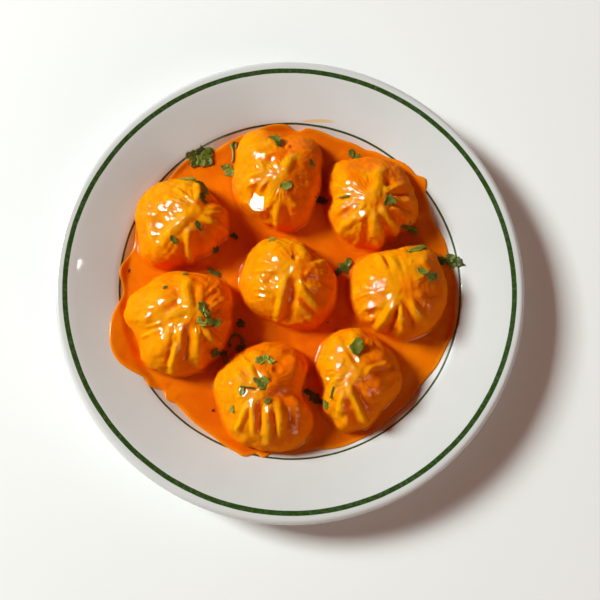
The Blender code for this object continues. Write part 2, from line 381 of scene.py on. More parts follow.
def well_wall(floor_radius, floor_top, verge_radius, verge_top):
    """The well's wall, curving up from the floor and easing over onto the rim."""
    points = []
    for step in range(3 * CURVE_STEPS + 1):
        share = step / (3 * CURVE_STEPS)
        radius = floor_radius + (verge_radius - floor_radius) * share
        climb = 1.0 - math.cos(0.5 * math.pi * share)
        points.append((radius, floor_top + (verge_top - floor_top) * climb))
    return points


def eating_side():
    """The upper half section in millimetres, from the plate's centre out to its lip."""
    points = [(0.0, 7.0), (40.0, 7.0), (70.0, 7.0)]
    points += well_wall(77.0, 7.0, 93.4, 16.2)
    points += [(94.4, 16.9), (97.0, 17.9), (108.0, 21.9), (116.0, 24.9)]
    points += [(119.0, 25.95), (121.5, 26.6)]
    return points


def plate_profile():
    """The plate's half section in millimetres, from its top centre round to its under centre."""
    width = PLATE_HIGH.x / MM
    top = PLATE_HIGH.z / MM
    lip = arc((width - LIP_RADIUS, top - LIP_RADIUS), LIP_RADIUS, 100.0, -60.0, LIP_STEPS)
    underside = [(122.0, 22.3), (115.0, 19.8), (104.0, 15.7), (96.6, 12.4), (91.5, 8.6)]
    underside += [(87.0, 5.2), (84.2, 3.2), (83.0, 1.6), (82.2, 0.4), (81.6, 0.0), (79.0, 0.0)]
    underside += [(76.4, 0.0), (75.8, 0.4), (75.2, 1.6), (74.0, 2.4), (71.0, 2.6), (40.0, 2.6)]
    underside += [(0.0, 2.6)]
    return eating_side() + lip + underside


def plate_top(radius):
    """Height of the eating side at distances from the plate's centre, in millimetres."""
    radii, heights = zip(*eating_side())
    return np.interp(radius, radii, heights)


def make_plate(material):
    """Spin the plate's half section about its axis."""
    form = bmesh.new()
    profile = plate_profile()
    corners = [form.verts.new((radius * MM, 0.0, height * MM)) for radius, height in profile]
    edges = [form.edges.new(pair) for pair in zip(corners, corners[1:])]
    bmesh.ops.spin(form, geom=corners + edges, cent=(0, 0, 0), axis=(0, 0, 1),
                   angle=2.0 * math.pi, steps=PLATE_STEPS, use_merge=True)
    bmesh.ops.remove_doubles(form, verts=form.verts, dist=JOIN_DISTANCE)
    bmesh.ops.recalc_face_normals(form, faces=form.faces)
    plate = finished("plate_glazed", form)
    settle(plate, material, "plate")
    return plate


# ================================================================ dumplings

# Lengths are in millimetres here and under sauce, and in metres where they are given in MM.
MOMO_COLUMNS = 400
MOMO_ROWS = 170
WIDEST = 0.57
CROWN_POWER = 1.9
BASE_POWER = 2.5
WIDEST_SHARE_OF_HEIGHT = 0.275
BASE_SINK = 1.3
WALL_GAP = 0.4 * MM
FOLD_FADE = 3.5
SKIRT_END = 0.645
SKIRT_CURVE = 2.2 * MM
SKIRT_INSET = 1.0 * MM
SKIRT_DIP = 0.12 * MM
SKIRT_SHRINKS = -1.0
SKIRT_GONE = 0.8
CREST_SPREAD = 1.3
CREASE_SPREAD = 1.5
CREST_LIFT = 0.9
CREASE_DEPTH = 0.7
WRINKLES_ROUND = 31.0
WRINKLE_HEIGHT = 0.11
WRINKLES_START = 5.0
WRINKLES_FULL = 10.0
RELIEF_FADES = 0.50
RELIEF_ENDS = 0.68
# Lumps of the skin: height and wavelength in millimetres, step of the seed, number of waves.
LUMPS = ((0.30, 9.0, 2, 7), (0.12, 4.5, 6, 12), (0.06, 2.8, 3, 12))
# The flats' uneven outline and surface, and how much of a flat is wholly level.
FLATS_END = 0.45
FLAT_OUTLINE = 0.17
FLAT_OUTLINE_WAVE = 8.0
FLAT_RELIEF = 0.05
FLAT_RELIEF_WAVE = 3.6
CORE_GROWTH = 0.08
CORE_FROM_RADIUS = 4.0
CORE_LEAST = 0.1
CORE_MOST = 0.45
# How thick the sauce lies on the dough, from 0 to 1, and what adds to it. Thinner on crests and
# thicker in creases is partly real sauce and partly painted light and shade. The far-side term is
# painted shade on slopes facing away from the window.
COAT_BASE = 0.38
THINNER_COAT_AND_LIGHT_ON_CRESTS = 0.25
THICKER_COAT_AND_SHADE_IN_CREASES = 0.20
COAT_NEAR_SAUCE = 0.4
COAT_ON_SLOPES = 0.3
PAINTED_SHADE_FAR_SIDE = 0.55
SPLASH_REACH = 6.0 * MM
SHADED_SIDE_DIRECTION = np.array([0.88, -0.46, 0.05])
# Where the coat shines: from how level the skin is, and in a line along the foot.
SHINE_STARTS = 0.70
SHINE_FULL = 0.90
FOOT_SHINE = 0.45
FOOT_LOW = 0.8 * MM
FOOT_HIGH = 1.8 * MM


class Momo:
    """One dumpling's shape, in millimetres and degrees about its gather.

    lean is how far the gather sits off the middle, girth is the radius where nothing bulges,
    bulges shape the outline, swirl turns the skin's wrinkles on their way down, and
    coat_and_shade_side is the direction, away from the window, in which the sauce lies thickest
    and painted shade is laid on, and by how much. Each fold runs from
    (direction, distance) to (direction, distance) and has a half width and a height, which is
    below zero for a crease. Each knob is (direction, distance, radius, height), and a hollow where
    its height is below zero. Each flat is (direction, distance, radius), where the wet coat lies
    smooth and level enough to shine.
    """

    def __init__(self, lean, girth, bulges, folds, knobs, swirl, coat_and_shade_side, flats):
        self.lean = np.array(lean, float)
        self.girth = girth
        self.bulges = bulges
        self.folds = folds
        self.knobs = knobs
        self.swirl = swirl
        self.coat_and_shade_side = coat_and_shade_side
        self.flats = flats


MOMOS = {
    "momo_1": Momo(
        (9.5, 0.1), 26.0, [(45, 36, -2.9), (150, 50, 2.2), (230, 36, 4.5), (295, 50, -3.8),
                           (330, 26, -1.9)],
        [(248, 11, 260, 26, 2.4, 2.4), (320, 6, 339, 18, 2.2, 2.6), (358, 6, 4, 16, 1.6, 1.4),
         (303, 11, 307, 17, 2.8, 1.4), (197, 3, 218, 24, 3.6, 1.8), (130, 20, 107, 8, 1.4, 1.3),
         (150, 20, 139, 6, 1.5, 1.2), (189, 27, 212, 27, 2.2, 1.0), (90, 20, 80, 7, 2.4, 1.4),
         (50, 6, 41, 20, 3.6, -2.4), (273, 12, 272, 24, 2.4, -2.2), (246, 18, 250, 26, 1.6, -1.2),
         (309, 12, 315, 19, 1.6, -1.6), (120, 18, 112, 9, 1.6, -0.9)],
        [(195, 20, 7.5, -1.5)], -6, (-15, 0.65),
        [(216, 26, 4.5), (190, 17, 3.5)]),
    "momo_2": Momo(
        (3.4, -5.4), 25.8, [(46, 42, 6.0), (122, 45, 7.0), (285, 50, 5.0)],
        [(71, 13, 112, 1.5, 3.4, 2.2), (256, 16, 263, 24, 2.4, 2.4), (181, 8, 204, 15, 1.6, 1.2),
         (174, 20, 168, 12, 1.4, 1.1), (143, 18, 168, 11, 1.6, 1.5), (133, 19, 104, 15, 1.2, 1.0),
         (62, 19, 40, 24, 1.8, 1.4), (296, 17, 307, 23, 3.2, 1.4), (230, 10, 240, 17, 3.6, 1.0),
         (190, 22, 186, 14, 1.2, 0.8), (289, 8, 304, 17, 2.2, -2.2),
         (273, 15, 276, 23, 2.2, -1.8), (200, 22, 198, 15, 1.2, -0.9)],
        [(222, 17, 8.0, 3.6), (139, 24, 7.5, 1.2), (130, 12, 4.4, -1.4),
         (84, 20, 2.2, 1.4), (6, 11, 7.5, -1.2), (315, 15, 5.9, -1.4)], 8, (15, 1.1),
        [(220, 18.5, 9.5), (132, 7.5, 3.5)]),
    "momo_3": Momo(
        (-1.3, -5.8), 27.0, [(20, 36, -1.8), (135, 32, 4.0), (180, 18, -3.0), (240, 50, 1.0),
                             (302, 40, -3.4)],
        [(78, 22, 95, 2.5, 4.3, 2.2), (50, 6, 33, 22, 3.2, 1.7), (8, 9, 5, 23, 3.2, 1.8),
         (338, 10, 340, 23, 3.0, 1.7), (306, 6, 317, 21, 2.7, 2.6), (265, 9, 284, 24, 3.9, 2.4),
         (230, 9, 216, 22, 2.7, 2.0), (183, 6, 224, 10, 1.9, 1.6), (150, 25, 152, 17, 1.2, 0.9),
         (180, 20, 175, 14, 1.2, 0.9), (165, 22, 165, 14, 1.2, 0.8),
         (248, 10, 258, 21, 2.3, -2.2), (292, 11, 304, 22, 1.8, -2.4),
         (325, 9, 329, 22, 2.0, -2.0), (200, 21, 190, 12, 1.4, -1.0), (25, 8, 19, 22, 1.3, -1.9),
         (352, 9, 352, 23, 1.3, -1.8)],
        [(205, 16, 4.7, -1.4), (52, 14, 4.3, -2.0), (12, 16, 4.3, -1.0)], 6, (40, 0.5),
        [(225, 9.5, 5.0), (232, 25, 4.0)]),
    "momo_4": Momo(
        (11.2, 0.5), 30.6, [(35, 36, 4.0), (85, 40, -2.0), (125, 36, -3.6), (205, 36, -6.5)],
        [(103, 18, 128, 4, 3.4, 2.0), (78, 17, 68, 9, 2.5, 1.2), (203, 14, 227, 20, 2.1, 1.6),
         (241, 17, 247, 32, 2.7, 2.6), (287, 10, 274, 27, 2.5, 1.8), (304, 11, 313, 21, 2.1, 2.0),
         (231, 10, 251, 21, 2.3, 1.6), (20, 10, 26, 20, 2.1, 1.4), (345, 14, 355, 19, 2.3, 1.2),
         (200, 31, 203, 20, 1.4, 1.0), (110, 3, 181, 13, 2.7, 1.2), (192, 28, 194, 19, 1.2, 0.9),
         (126, 19, 128, 11, 1.8, -1.6), (137, 10, 174, 16, 2.1, -2.0),
         (251, 7, 260, 26, 2.5, -2.6), (294, 15, 287, 26, 2.7, -2.2),
         (235, 19, 240, 30, 1.4, -1.4), (4, 10, 20, 22, 2.5, -2.0), (50, 8, 48, 20, 1.8, -1.2)],
        [(154, 19, 9.2, 1.6), (185, 27, 5.0, 1.4), (221, 26, 9.2, 1.0), (54, 17, 2.7, 1.0),
         (31, 18, 2.7, 1.0)], -5, (35, 0.65),
        [(133, 11.5, 3.5), (208, 24, 3.5)]),
    "momo_5": Momo(
        (4.1, 0.7), 28.0, [(5, 50, -1.5), (50, 50, -6.2), (95, 26, -2.4), (130, 26, 1.1),
                           (250, 50, -4.3)],
        [(193, 7, 243, 24, 2.8, 2.4), (266, 6, 301, 21, 2.5, 2.6), (264, 15, 291, 25, 2.3, 1.8),
         (300, 7, 328, 16, 1.7, 1.0), (92, 16, 57, 12, 2.3, 1.4), (156, 24, 157, 13, 1.5, 0.9),
         (172, 24, 171, 11, 1.3, 1.3), (180, 22, 210, 18, 1.5, 1.2), (194, 26, 208, 18, 0.9, 0.8),
         (202, 26, 218, 20, 0.9, 0.8), (210, 26, 217, 21, 0.9, 0.8), (30, 20, 35, 8, 2.2, 1.2),
         (232, 4, 257, 21, 2.8, -2.8), (267, 13, 299, 24, 1.3, -1.6),
         (314, 3, 347, 20, 2.1, -2.2)],
        [(1, 4.5, 1.9, 1.4), (102, 10, 2.5, -2.0), (192, 15, 4.9, -1.8), (129, 17, 9.5, 0.8)],
        5, (20, 0.5),
        [(147, 16, 3.5), (190, 13, 4.0)]),
    "momo_6": Momo(
        (-1.4, -3.7), 28.0, [(50, 26, 2.8), (105, 50, -4.4), (245, 36, -2.5)],
        [(241, 8, 238, 22, 3.0, 3.0), (263, 9, 274, 22, 2.3, 2.4), (298, 8, 308, 22, 3.2, 2.8),
         (345, 9, 334, 19, 3.0, 1.2), (118, 25, 124, 16, 3.0, 1.6), (102, 20, 104, 11, 2.8, 1.8),
         (171, 24, 188, 24, 1.7, 1.2), (168, 21, 180, 17, 1.9, 1.2), (185, 22, 185, 16, 1.1, 1.2),
         (154, 10, 174, 9, 1.3, 0.8), (40, 22, 30, 9, 2.6, 1.2), (205, 24, 208, 15, 1.3, 0.9),
         (255, 10, 255, 22, 1.7, -2.2), (278, 7, 289, 21, 1.9, -2.2),
         (345, 12, 353, 21, 1.7, -1.8), (112, 22, 116, 14, 1.3, -1.8),
         (194, 20, 196, 16, 1.1, -1.4), (191, 14, 203, 8, 1.5, -1.0)],
        [(51, 21, 4.2, 1.2), (205, 19, 3.0, 1.2)], 7, (-20, 0.4),
        [(205, 17, 4.5), (220, 20, 4.0)]),
    "momo_7": Momo(
        (1.4, 2.3), 29.2, [(5, 36, -8.4), (50, 50, 2.0), (130, 50, -2.4), (200, 50, -4.7),
                           (305, 50, 4.4)],
        [(222, 11, 236, 26, 2.1, 2.2), (228, 10, 255, 23, 2.1, 2.4), (274, 12, 273, 27, 3.1, 2.4),
         (311, 11, 291, 24, 2.9, 2.2), (340, 16, 327, 22, 3.3, 2.0), (195, 16, 200, 11, 1.2, 1.2),
         (151, 18, 170, 11, 2.5, 1.4), (124, 15, 138, 8, 2.1, 1.8), (103, 9, 56, 4, 2.3, 1.6),
         (28, 5, 2, 17, 3.8, 1.2), (318, 4, 341, 14, 3.8, -4.0), (254, 8, 263, 22, 1.7, -2.0),
         (291, 12, 282, 24, 1.7, -1.8), (321, 16, 303, 26, 2.5, -1.6),
         (180, 15, 190, 3, 1.0, -1.6), (122, 23, 115, 16, 1.2, -1.4),
         (138, 18, 150, 9, 1.6, -1.0)],
        [(106, 19, 5.4, 1.4), (43, 20, 6.2, 2.4), (60, 12, 3.3, -2.0)], -4, (25, 0.7),
        [(189, 11.4, 5.5), (214, 27, 5.5)]),
    "momo_8": Momo(
        (-3.7, 3.3), 26.0, [(10, 50, -2.5), (110, 50, 4.6), (190, 36, -5.0), (250, 18, 2.8),
                            (315, 50, -7.0)],
        [(234, 12, 249, 24, 2.2, 2.0), (238, 9, 283, 26, 2.2, 3.0), (17, 6, 17, 20, 1.8, 1.8),
         (10, 21, 356, 22, 1.6, 1.2), (85, 23, 98, 13, 4.4, 1.6), (132, 11, 155, 9, 1.4, 1.2),
         (151, 12, 161, 12, 1.2, 1.0), (183, 16, 180, 11, 0.9, 0.7), (186, 8, 208, 15, 1.8, 1.8),
         (223, 17, 227, 21, 1.2, 1.0), (172, 17, 170, 11, 0.9, 0.7),
         (254, 16, 269, 26, 2.4, -2.4), (269, 8, 288, 22, 2.8, -2.2), (5, 9, 357, 19, 2.4, -2.4),
         (109, 13, 86, 4, 1.6, -2.0)],
        [(321, 14, 7.9, 2.2), (33, 16, 5.9, 1.0), (122, 19, 6.7, 1.2), (150, 17, 2.0, 0.8),
         (261, 27, 4.0, 1.2)], 5, (10, 0.5),
        [(208, 22, 5.5), (190, 15, 4.0)]),
}


def momo_body(momo, tall, down, across):
    """The smooth body in millimetres, with its gather above the origin's lean."""
    crown = down < WIDEST
    angle = 0.5 * np.pi * np.where(crown, down / WIDEST, (down - WIDEST) / (1.0 - WIDEST))
    sine, cosine = np.sin(angle), np.clip(np.cos(angle), 0.0, 1.0)
    share = np.where(crown, sine ** (2.0 / CROWN_POWER), cosine ** (2.0 / BASE_POWER))
    middle = WIDEST_SHARE_OF_HEIGHT
    rise = middle + (1.0 - middle) * cosine ** (2.0 / CROWN_POWER)
    drop = middle - middle * BASE_SINK * sine ** (2.0 / BASE_POWER)
    height = np.where(crown, rise, np.maximum(drop, 0.0))

    turned = np.radians(across + momo.swirl * down)
    heading = np.stack([np.cos(turned), np.sin(turned)], axis=1)
    along = heading @ momo.lean
    aside = momo.lean @ momo.lean - along * along
    girth = np.full(len(down), momo.girth)
    for _ in range(4):
        chord = np.sqrt(np.maximum(girth * girth - share * share * aside, 1.0))
        reach = share * (chord - share * along)
        spoke = heading * reach[:, None] + momo.lean * (share * share)[:, None]
        outward = np.degrees(np.arctan2(spoke[:, 1], spoke[:, 0]))
        girth = momo.girth + lobed(outward, momo.bulges)
    spot = momo.lean + heading * reach[:, None]
    return np.column_stack([spot, height * tall])


def polar(direction, distance):
    """A spot in the plan at a direction and distance from the gather."""
    turn = math.radians(direction)
    return distance * np.array([math.cos(turn), math.sin(turn)])


def fold_share(spots, fold):
    """How much of a fold's height each spot has, from 0 beside it to 1 on its crest."""
    start, end = polar(*fold[0:2]), polar(*fold[2:4])
    half_width = fold[4] * (CREST_SPREAD if fold[5] > 0 else CREASE_SPREAD)
    length = np.linalg.norm(end - start)
    heading = (end - start) / length
    along = (spots - start) @ heading
    aside = (spots - start) @ np.array([-heading[1], heading[0]])
    rising = smooth(-half_width, FOLD_FADE, along)
    falling = 1.0 - smooth(length - FOLD_FADE, length + half_width, along)
    across = np.minimum(np.abs(aside) / half_width, 1.0)
    return rising * falling * (1.0 - across * across) ** 2


def knob_share(spots, knob):
    """How much of a knob's height each spot has."""
    gap = np.linalg.norm(spots - polar(*knob[0:2]), axis=1)
    share = np.minimum(gap / knob[2], 1.0)
    return (1.0 - share * share) ** 2


def momo_relief(momo, spots):
    """Height of the folds and knobs in millimetres, and how thick they leave the sauce, with
    painted light on the crests and painted shade in the creases.
    """
    crests = np.zeros(len(spots))
    creases = np.zeros(len(spots))
    for fold in momo.folds:
        height = fold[5] * fold_share(spots, fold)
        crests += np.maximum(CREST_LIFT * height, 0.0) ** 3
        creases += np.maximum(-CREASE_DEPTH * height, 0.0) ** 3
    crests, creases = np.cbrt(crests), np.cbrt(creases)
    relief = crests - creases
    for knob in momo.knobs:
        relief += knob[3] * knob_share(spots, knob)
    return relief, COAT_BASE - THINNER_COAT_AND_LIGHT_ON_CRESTS * crests + THICKER_COAT_AND_SHADE_IN_CREASES * creases


def draw_out_skirt(made, points, down, across):
    """Curve the wall out into the sauce below the widest row, but not up on to the rim."""
    rows = np.round(down * MOMO_ROWS).astype(int)
    columns = np.round(across / 360.0 * MOMO_COLUMNS).astype(int) % MOMO_COLUMNS
    widest_row, last_row = round(WIDEST * MOMO_ROWS), round(SKIRT_END * MOMO_ROWS)
    normals = read_normals(made.data)
    walls = np.zeros((MOMO_COLUMNS, 3))
    facing = np.zeros((MOMO_COLUMNS, 2))
    widest = rows == widest_row
    walls[columns[widest]] = points[widest]
    facing[columns[widest]] = normals[widest][:, :2]
    facing /= np.linalg.norm(facing, axis=1)[:, None]
    skirt = (rows > widest_row) & (rows <= last_row)
    turn = 0.5 * np.pi * (rows[skirt] - widest_row - 1) / (last_row - widest_row - 1)
    wall, outward = walls[columns[skirt]], facing[columns[skirt]]
    reached = np.hypot(wall[:, 0], wall[:, 1]) + SKIRT_CURVE
    rim_rise = plate_top(reached / MM) - SAUCE_LEVEL / MM
    room = 1.0 - smooth(SKIRT_SHRINKS, SKIRT_GONE, rim_rise)
    outset = room * SKIRT_CURVE * (1.0 - np.cos(turn))
    points[skirt, :2] = wall[:, :2] + outward * outset[:, None]
    points[skirt, 2] = SAUCE_LEVEL - SKIRT_DIP + SKIRT_CURVE * (1.0 - np.sin(turn))


def shining(place):
    """The direction a wet surface at a place faces when it mirrors the window to the camera."""
    to_window = (around(*WINDOW_PLACE, CAMERA_AIM) - place).normalized()
    to_camera = (around(*CAMERA_PLACE, CAMERA_AIM) - place).normalized()
    return np.array((to_window + to_camera).normalized())


def lay_flats(momo, points, spots, down, place):
    """Draw the skin at each flat towards a plane that catches the window."""
    crown = 1.0 - smooth(FLATS_END, WIDEST, down)
    facing = shining(place)
    for direction, distance, radius in momo.flats:
        gap = np.linalg.norm(spots - polar(direction, distance), axis=1) / radius
        gap *= 1.0 + FLAT_OUTLINE * ripple(points, FLAT_OUTLINE_WAVE, 31)
        core = min(max(CORE_GROWTH * (radius - CORE_FROM_RADIUS), CORE_LEAST), CORE_MOST)
        share = crown * (1.0 - smooth(core, 1.0, gap))
        middle = np.average(points, axis=0, weights=share)
        fall = (points[:, :2] - middle[:2]) @ facing[:2] / facing[2]
        uneven = FLAT_RELIEF * ripple(points, FLAT_RELIEF_WAVE, 32, 12)
        points[:, 2] += share * (middle[2] - fall - points[:, 2] + uneven)


def skin_relief(momo, points, spots, down, across, seed):
    """All relief of the skin in millimetres, and how thick its folds leave the sauce, which is
    partly painted light on crests and painted shade in creases.
    """
    relief, sauce_and_shade = momo_relief(momo, spots)
    reach = np.linalg.norm(spots, axis=1)
    patches = smooth(-0.1, 0.9, ripple(points, 12.0, seed + 1))
    sway = 1.5 * ripple(points, 9.0, seed) + 0.1 * reach
    radial = np.sin(np.radians(across) * WRINKLES_ROUND + sway)
    relief += WRINKLE_HEIGHT * patches * radial * smooth(WRINKLES_START, WRINKLES_FULL, reach)
    for height, wavelength, step, waves in LUMPS:
        relief += height * ripple(points, wavelength, seed + step, waves)
    return relief * (1.0 - smooth(RELIEF_FADES, RELIEF_ENDS, down)), sauce_and_shade


def coat_and_paint_shade(made, momo, points, spots, sauce_and_shade, top, seed):
    """Keep how thick the sauce lies on the dough, with painted shade on the side away from the
    window, and where it is wet enough to shine.
    """
    near_sauce = 1.0 - smooth(SAUCE_LEVEL, SAUCE_LEVEL + SPLASH_REACH, points[:, 2])
    lower_slopes = 1.0 - smooth(SAUCE_LEVEL, top, points[:, 2])
    side, depth = momo.coat_and_shade_side
    # Painted shade: the share grows towards the side of the dumpling that faces away from the
    # window.
    toward_shaded_side = spots @ polar(side, 1.0) / momo.girth
    toward_shaded_side += 0.25 * ripple(points / MM, 14.0, seed + 4)
    sauce_and_shade += COAT_NEAR_SAUCE * near_sauce + COAT_ON_SLOPES * lower_slopes
    sauce_and_shade += depth * smooth(-0.15, 0.6, toward_shaded_side)
    normals = read_normals(made.data)
    # Painted shade on slopes that face away from the window.
    sauce_and_shade += PAINTED_SHADE_FAR_SIDE * smooth(0.0, 0.7, normals @ SHADED_SIDE_DIRECTION)
    store(made.data, "sauce_and_shade", np.clip(sauce_and_shade, 0.0, 1.0))
    foot = 1.0 - smooth(SAUCE_LEVEL + FOOT_LOW, SAUCE_LEVEL + FOOT_HIGH, points[:, 2])
    level = smooth(SHINE_STARTS, SHINE_FULL, normals[:, 2])
    store(made.data, "gloss", np.maximum(level, FOOT_SHINE * foot))


def make_momo(name, momo, seed, material):
    """Shape a ball into a dumpling that fills its node's box."""
    made, down, across = ball(name + "_dough", MOMO_COLUMNS, MOMO_ROWS)
    low, high = (np.array(corner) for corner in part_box(name))
    points = momo_body(momo, (high[2] - low[2]) / MM, down, across)
    write_points(made.data, points)
    normals = read_normals(made.data)

    spots = points[:, :2] - momo.lean
    relief, sauce_and_shade = skin_relief(momo, points, spots, down, across, seed)
    points = points + normals * relief[:, None]
    lay_flats(momo, points, spots, down, Vector(0.5 * (low + high)))

    low[:2] += SKIRT_INSET
    high[:2] -= SKIRT_INSET
    stretch = (high - low) / (points.max(0) - points.min(0))
    points = (points - points.min(0)) * stretch + low
    write_points(made.data, points)
    draw_out_skirt(made, points, down, across)
    bed = plate_top(np.hypot(points[:, 0], points[:, 1]) / MM) * MM
    points[:, 2] = np.maximum(points[:, 2], bed + WALL_GAP)
    write_points(made.data, points)

    coat_and_paint_shade(made, momo, points, spots, sauce_and_shade, high[2], seed)
    settle(made, material, name)
    return made


# ================================================================ sauce

SAUCE_COLUMNS = 620
SAUCE_TOP_ROWS = 146
SAUCE_ROWS = 156
SAUCE_RIM_SHARE = 0.045
SAUCE_RIM_ROWS = 20
SAUCE_RADIUS = 90.3
SAUCE_LOBES = (
    (350, 22, 3.0), (45, 18, 5.0), (93, 20, 3.5), (131, 14, 2.5), (154, 12, 3.5),
    (176, 9, 3.4), (199, 22, 12.5), (252, 16, 4.5), (290, 12, 2.0),
)
SAUCE_DRIPS = (
    (39, 4, 3.2), (58, 6, 1.6), (88, 4, -2.0), (216, 4, 2.8), (223, 3, 1.4), (255, 4, 1.6),
    (261, 3, 2.6),
)
# Waver of the edge: reach in millimetres, lobes round, start in degrees.
SAUCE_WAVER = ((0.5, 11.0, 0.0), (0.35, 23.0, 40.0))
# Waves on the surface: height and wavelength in millimetres, seed, number of waves.
SAUCE_WAVES = ((0.14, 26.0, 71, 7), (0.045, 8.0, 72, 12))
SAUCE_SINK = 0.4
BEAD_HEIGHT = 1.7
BEAD_WIDTH = 2.4
STEEPEST_EDGE = 0.6
LEVEL_BLEND = 0.5
# How far in from the edge the sauce is thin, and where its surface waves begin.
THIN_TO = 0.4
THICK_FROM = 3.6
WAVES_START = 2.0
WAVES_FULL = 8.0


def make_sauce(material):
    """Shape a flat ball into the pool and the lobes that have run up the well's wall."""
    made, down, across = ball("sauce_pool", SAUCE_COLUMNS, SAUCE_ROWS)
    row = down * SAUCE_ROWS
    edge = SAUCE_RADIUS + lobed(across, SAUCE_LOBES) + lobed(across, SAUCE_DRIPS)
    for reach, lobes, start in SAUCE_WAVER:
        edge += reach * np.sin(np.radians(across * lobes + start))
    top = row <= SAUCE_TOP_ROWS
    rows = (0.0, SAUCE_TOP_ROWS - SAUCE_RIM_ROWS, SAUCE_TOP_ROWS, SAUCE_ROWS)
    out = np.interp(row, rows, (0.0, 1.0 - SAUCE_RIM_SHARE, 1.0, 0.0))
    radius = edge * out
    inside = edge - radius
    bed = plate_top(radius)
    level = SAUCE_LEVEL / MM
    rounding = 1.0 - np.clip(inside / BEAD_WIDTH, 0.0, 1.0)
    film = bed - SAUCE_SINK + BEAD_HEIGHT * np.sqrt(1.0 - rounding ** 2)
    surface = 0.5 * (film + level + np.sqrt((film - level) ** 2 + LEVEL_BLEND))
    surface = np.minimum(surface, film + STEEPEST_EDGE * inside)
    height = np.where(top, surface, bed - SAUCE_SINK)
    angle = np.radians(across)
    points = np.column_stack([radius * np.cos(angle), radius * np.sin(angle), height])
    flat = points * (1.0, 1.0, 0.0)
    wavy = np.where(top, smooth(WAVES_START, WAVES_FULL, inside), 0.0)
    for rise, wavelength, seed, waves in SAUCE_WAVES:
        points[:, 2] += wavy * rise * ripple(flat, wavelength, seed, waves)
    points *= MM

    write_points(made.data, points)
    thin = 1.0 - smooth(THIN_TO, THICK_FROM, inside)
    store(made.data, "thin", np.where(top, thin, 1.0))
    settle(made, material, "sauce")
    return made


# ================================================================ herbs

HERB_THICKNESS = 0.35 * MM
HERB_CLEARANCE = 0.25 * MM
LEAF_ROWS = 14
LEAF_COLUMNS = 6
STEM_SIDES = 8
STEM_STEPS = 16
LEAF_DARK = (0.016, 0.036, 0.001)
LEAF_PALE = (0.35, 0.36, 0.04)
CHILLI_DARK = (0.09, 0.004, 0.001)
CHILLI_BRIGHT = (0.28, 0.02, 0.002)
CHILLI_TONE = 0.3
HERB_SEED = 23
# How far a scrap is lifted off the food (a stem, as a share of its width), and how closely it
# follows the slope there.
LEAF_LIFT, LEAF_FOLLOWS = 0.5, 0.8
STEM_LIFT, STEM_FOLLOWS = 0.4, 0.9
FLECK_LIFT, FLECK_FOLLOWS = 0.1, 1.0


def grounded(tree, x, y):
    """Height and upward normal of the food or plate under a spot."""
    spot, normal, _, _ = tree.ray_cast(Vector((x, y, 0.1)), Vector((0.0, 0.0, -1.0)))
    if normal.z < 0.0:
        normal = -normal
    return spot, normal


def laid(tree, x, y, heading, lift, follows):
    """A frame lying on the surface at a spot in millimetres, turned to a heading in degrees."""
    spot, normal = grounded(tree, x * MM, y * MM)
    up = (normal * follows + Vector((0.0, 0.0, 1.0)) * (1.0 - follows)).normalized()
    turn = math.radians(heading)
    ahead = Vector((math.cos(turn), math.sin(turn), 0.0))
    ahead = (ahead - up * ahead.dot(up)).normalized()
    side = up.cross(ahead)
    basis = Matrix((ahead, side, up)).transposed().to_4x4()
    return Matrix.Translation(spot + up * lift * MM) @ basis


def add_leaf(form, tree, frame_at, length, width, draw, tone):
    """A chopped scrap of leaf: toothed, folded along its rib, curled, and often cut at one end."""
    made = bmesh.ops.create_grid(form, x_segments=LEAF_ROWS, y_segments=LEAF_COLUMNS, size=1.0)
    grid = made["verts"]
    tones = form.verts.layers.float["tone"]
    teeth, shift = draw.uniform(2.0, 5.0), draw.uniform(0.0, 6.3)
    cut = draw.choice((0.0, 0.0, 0.6, 0.9))
    fold, curl, twist = draw.uniform(-0.2, 0.9), draw.uniform(-0.6, 0.9), draw.uniform(-0.5, 0.5)
    for corner in grid:
        along, aside = corner.co.x, corner.co.y
        kept = 1.0 if along < 0.0 else 1.0 - cut
        taper = (1.0 - kept * abs(along) ** 1.8) ** 0.7
        side = 1.7 if aside > 0.0 else 0.0
        notch = 1.0 + 0.25 * math.sin(teeth * along * 2.0 + shift + side)
        notch += 0.12 * math.sin(7.3 * along + 2.0 * shift - side)
        x = 0.5 * length * (along + 0.16 * abs(aside) * math.sin(3.0 * along + shift))
        y = 0.5 * width * aside * taper * notch + 0.1 * width * math.sin(2.2 * along + shift)
        rise = 0.22 * fold * width * abs(aside) * taper + 0.16 * curl * length * along * along
        rise += 0.3 * twist * width * along * aside
        corner.co = frame_at @ Vector((x * MM, y * MM, rise * MM))
        ground = grounded(tree, corner.co.x, corner.co.y)[0].z
        corner.co.z = max(corner.co.z, ground + HERB_CLEARANCE)
        # Each scrap is paler towards its edges, a painted highlight where the edges catch the
        # light.
        corner[tones] = tone + 0.12 * abs(aside)
    faces = list({face for corner in grid for face in corner.link_faces})
    bmesh.ops.solidify(form, geom=faces, thickness=HERB_THICKNESS)


def add_stem(form, frame_at, length, width, bend, tone):
    """A short length of stem, bent along its way, with a blunt tip at each end."""
    made = bmesh.ops.create_uvsphere(form, u_segments=STEM_SIDES, v_segments=STEM_STEPS,
                                     radius=1.0)
    tones = form.verts.layers.float["tone"]
    radius = length / bend
    for corner in made["verts"]:
        along = corner.co.z
        ring = max(math.sqrt(1.0 - min(along * along, 0.9999)), 0.02)
        round_about = Vector((corner.co.x, corner.co.y)) / ring
        thick = 0.5 * width * (1.0 + 0.12 * math.sin(4.0 * along + bend))
        angle = 0.5 * along * bend
        reach = radius + round_about.y * thick
        ahead, aside = reach * math.sin(angle), reach * math.cos(angle) - radius
        corner.co = frame_at @ (Vector((ahead, aside, round_about.x * thick)) * MM)
        corner[tones] = tone


